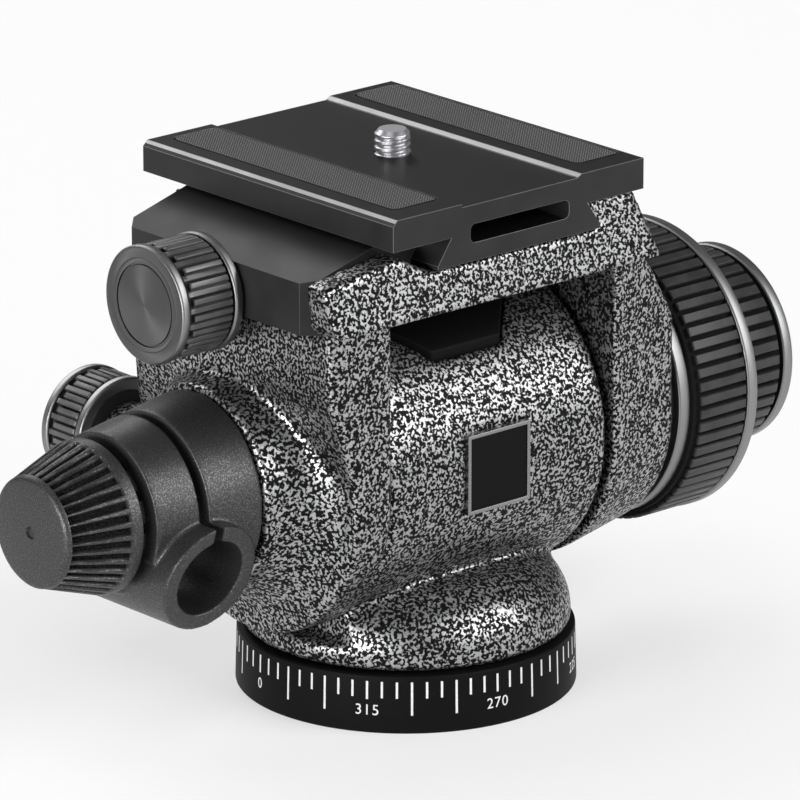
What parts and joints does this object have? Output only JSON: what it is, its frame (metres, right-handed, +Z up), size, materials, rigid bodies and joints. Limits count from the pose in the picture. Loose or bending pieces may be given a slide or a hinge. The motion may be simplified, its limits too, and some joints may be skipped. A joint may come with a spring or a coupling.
{
  "type": "two-way fluid head",
  "caption": "Speckled pan and tilt head with a scale ring base, a screw jaw for a dovetail camera plate, friction rings on the tilt axis, a split handle clamp and a tilt lock knob.",
  "frame": {"origin": "centre of the base's lower face, on the pan axis, at the mouth of the tripod thread", "axes": "+Z up along the pan axis; X along the tilt axis with the handle clamp at -X and the friction rings at +X; -Y is the side with the badge"},
  "size_m": [0.1642, 0.0808, 0.1007],
  "materials": {
    "speckled_paint": "black and silver hammered speckle paint on a casting, semi-gloss",
    "black_anodised": "satin black anodised",
    "black_plastic": "fine textured black",
    "rubber_grip": "ribbed or textured black rubber",
    "satin_silver": "bright turned rings and border",
    "steel": "turned steel",
    "base_metal": "machined aluminium",
    "bronze": "turned bronze"
  },
  "bodies": {
    "base": {"scale_ring": "black_anodised", "base_plate": "base_metal", "thread_insert": "bronze", "pan_post": "steel", "pan_nut": "steel", "base_screw_1": "steel", "base_screw_2": "steel", "base_screw_3": "steel"},
    "pan": {"pan_body": "speckled_paint", "pan_bush": "bronze", "tilt_axle": "steel", "crown_cover": "black_plastic", "badge_plate": "black_anodised", "badge_frame": "satin_silver"},
    "yoke": {"yoke": "speckled_paint", "left_bush": "bronze", "right_bush": "bronze", "thrust_washer": "bronze", "clamp_stud": "steel", "ring_spindle": "steel", "spindle_screw": "steel", "brake_pad": "bronze", "jaw_pin_front": "steel", "jaw_pin_back": "steel"},
    "jaw": {"sliding_jaw": "black_anodised", "knob_washer": "steel"},
    "clamp_knob": {"clamp_bolt": "steel", "clamp_knob_core": "black_anodised", "clamp_knob_grip": "rubber_grip", "clamp_knob_rear_ring": "satin_silver", "clamp_knob_front_ring": "satin_silver", "clamp_knob_cap": "black_anodised"},
    "plate": {"camera_plate": "black_anodised", "grip_strip_left": "rubber_grip", "grip_strip_right": "rubber_grip"},
    "camera_screw": {"camera_screw": "steel"},
    "handle_clamp": {"handle_clamp": "black_plastic", "knob_collar": "black_plastic"},
    "cone_knob": {"cone_knob": "black_plastic", "cone_nut": "bronze"},
    "drag_ring": {"drag_core": "black_anodised", "drag_grip": "rubber_grip", "drag_inner_ring": "satin_silver", "drag_outer_ring": "satin_silver"},
    "trim_ring": {"trim_core": "black_anodised", "trim_grip": "rubber_grip", "trim_ring": "satin_silver", "trim_cap": "black_anodised"},
    "lock_knob": {"lock_screw": "steel", "lock_knob_core": "black_anodised", "lock_knob_grip": "rubber_grip", "lock_knob_rear_ring": "satin_silver", "lock_knob_front_ring": "satin_silver", "lock_knob_cap": "black_anodised"}
  },
  "joints": [
    {"name": "pan", "type": "hinge", "parent": "base", "child": "pan", "pos_m": [0, 0, 0.0155], "axis": [0, 0, 1], "continuous": true},
    {"name": "tilt", "type": "hinge", "parent": "pan", "child": "yoke", "pos_m": [0, 0.0036, 0.0447], "axis": [1, 0, 0], "range_deg": [-45, 80]},
    {"name": "clamp_knob_turn", "type": "hinge", "parent": "jaw", "child": "clamp_knob", "pos_m": [-0.0431, 0.0036, 0.08], "axis": [-1, 0, 0], "range_deg": [0, 1441]},
    {"name": "jaw_slide", "type": "slide", "parent": "yoke", "child": "jaw", "axis": [-1, 0, 0], "range_m": [0, 0.0032]},
    {"name": "plate_slide", "type": "slide", "parent": "yoke", "child": "plate", "axis": [0, 1, 0], "range_m": [-0.012, 0.012]},
    {"name": "camera_screw_turn", "type": "hinge", "parent": "plate", "child": "camera_screw", "pos_m": [0, 0.0036, 0.0969], "axis": [0, 0, 1], "continuous": true},
    {"name": "handle_swing", "type": "hinge", "parent": "yoke", "child": "handle_clamp", "pos_m": [-0.0555, 0.0036, 0.0447], "axis": [1, 0, 0], "range_deg": [-60, 60]},
    {"name": "cone_knob_turn", "type": "hinge", "parent": "yoke", "child": "cone_knob", "pos_m": [-0.0745, 0.0036, 0.0447], "axis": [-1, 0, 0], "range_deg": [0, 540]},
    {"name": "tilt_friction_turn", "type": "hinge", "parent": "yoke", "child": "drag_ring", "pos_m": [0.055, 0.0036, 0.0447], "axis": [1, 0, 0], "range_deg": [-135, 135]},
    {"name": "counterbalance_turn", "type": "hinge", "parent": "yoke", "child": "trim_ring", "pos_m": [0.0735, 0.0036, 0.0447], "axis": [1, 0, 0], "range_deg": [-135, 135]},
    {"name": "tilt_lock_turn", "type": "hinge", "parent": "yoke", "child": "lock_knob", "pos_m": [-0.0322, 0.0445, 0.0425], "axis": [0, 1, 0], "range_deg": [0, 180]}
  ],
  "couplings": [
    {"joint": "clamp_knob_turn", "follows": "jaw_slide", "rad_per_m": 7854}
  ]
}
